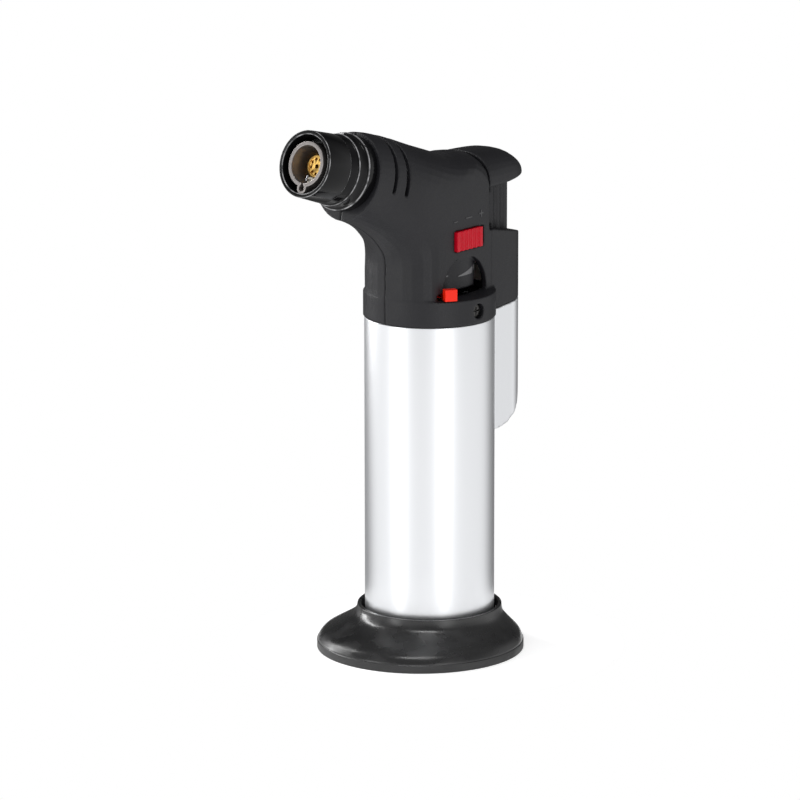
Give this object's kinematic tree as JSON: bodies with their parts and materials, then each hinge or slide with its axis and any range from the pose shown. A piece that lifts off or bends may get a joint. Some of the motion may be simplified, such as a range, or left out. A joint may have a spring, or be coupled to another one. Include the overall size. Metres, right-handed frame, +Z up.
{
  "type": "butane torch",
  "caption": "Upright refillable hand torch: round metal tank in a slip-on foot, angled nozzle with flame tube, thumb button over a rear block, safety slider and flame lever.",
  "frame": {"origin": "where the tank's axis meets the resting plane under the foot", "axes": "+Z up along the tank, the nozzle points towards -X and up, the controls are on the -Y side, the thumb button is at +X"},
  "size_m": [0.0954, 0.064, 0.1681],
  "materials": {
    "gloss_black": "smooth moulded plastic with a high polish",
    "matte_black": "moulded plastic with a fine spark-eroded grain",
    "satin_aluminium": "satin, clear anodised",
    "crimson_plastic": "semi-matte moulded plastic",
    "red_orange_plastic": "smooth moulded plastic",
    "pale_plastic": "unpainted moulded plastic",
    "piezo_plastic": "unpainted moulded plastic",
    "brass": "turned brass",
    "burner_brass": "turned brass, warmed by the flame",
    "burnt_steel": "stainless steel dulled by heat",
    "spring_steel": "drawn wire",
    "bare_steel": "stamped and turned steel",
    "screw_steel": "plated steel",
    "ceramic": null,
    "black_rubber": "moulded seal",
    "hose_rubber": "translucent grey elastomer",
    "lead_insulation": "extruded insulation",
    "wick_fibre": "bonded fibre"
  },
  "bodies": {
    "foot": {"base_stand": "gloss_black"},
    "torch": {"tank_sleeve": "satin_aluminium", "fin_cover": "satin_aluminium", "fuel_tank": "pale_plastic", "tank_cap": "pale_plastic", "fill_valve_body": "brass", "fill_valve_spring": "spring_steel", "fuel_wick": "wick_fibre", "outlet_valve_body": "brass", "valve_spring": "spring_steel", "gas_hose": "hose_rubber", "gas_jet": "brass", "mixer_tube": "brass", "burner_head": "burner_brass", "flame_tube": "burnt_steel", "nozzle_collar": "gloss_black", "nozzle_shroud": "gloss_black", "electrode_insulator": "ceramic", "electrode_wire": "spring_steel", "ignition_lead": "lead_insulation", "ground_lead": "lead_insulation", "piezo_body": "piezo_plastic", "piezo_spring": "spring_steel", "rocker_pin": "bare_steel", "head_shell_left": "matte_black", "head_shell_right": "matte_black", "housing_screws": "screw_steel"},
    "trigger": {"trigger_button": "matte_black", "piezo_plunger": "pale_plastic"},
    "rocker": {"rocker_lever": "bare_steel"},
    "outlet_stem": {"valve_stem": "brass", "valve_seal": "black_rubber"},
    "lock": {"lock_slider": "crimson_plastic"},
    "flame_lever": {"gas_adjuster": "red_orange_plastic"},
    "filler": {"fill_valve_stem": "brass", "fill_valve_seal": "black_rubber"}
  },
  "joints": [
    {"name": "torch_lift", "type": "slide", "parent": "foot", "child": "torch", "axis": [0, 0, 1], "range_m": [0, 0.016]},
    {"name": "trigger_press", "type": "slide", "parent": "torch", "child": "trigger", "axis": [0, 0, -1], "range_m": [0, 0.005], "stiffness_N_per_m": 1500, "springref_m": -0.003, "deforming": ["piezo_spring"]},
    {"name": "rocker_turn", "type": "hinge", "parent": "torch", "child": "rocker", "pos_m": [0.005, 0, 0.11925], "axis": [0, 1, 0], "range_deg": [0, 19.5]},
    {"name": "stem_lift", "type": "slide", "parent": "torch", "child": "outlet_stem", "axis": [0, 0, 1], "range_m": [0, 0.00165], "deforming": ["valve_spring"]},
    {"name": "lock_slide", "type": "slide", "parent": "torch", "child": "lock", "axis": [-0.9968, -0.0797, 0], "range_m": [-0.0015, 0]},
    {"name": "flame_adjust", "type": "hinge", "parent": "torch", "child": "flame_lever", "pos_m": [0, 0, 0.1122], "axis": [0, 0, 1], "range_deg": [0, 60]},
    {"name": "fill_press", "type": "slide", "parent": "torch", "child": "filler", "axis": [0, 0, 1], "range_m": [0, 0.0015], "stiffness_N_per_m": 400, "springref_m": -0.001, "deforming": ["fill_valve_spring"]}
  ],
  "couplings": [
    {"joint": "rocker_turn", "follows": "trigger_press", "rad_per_m": 67.967},
    {"joint": "stem_lift", "follows": "trigger_press", "ratio": 0.322}
  ]
}
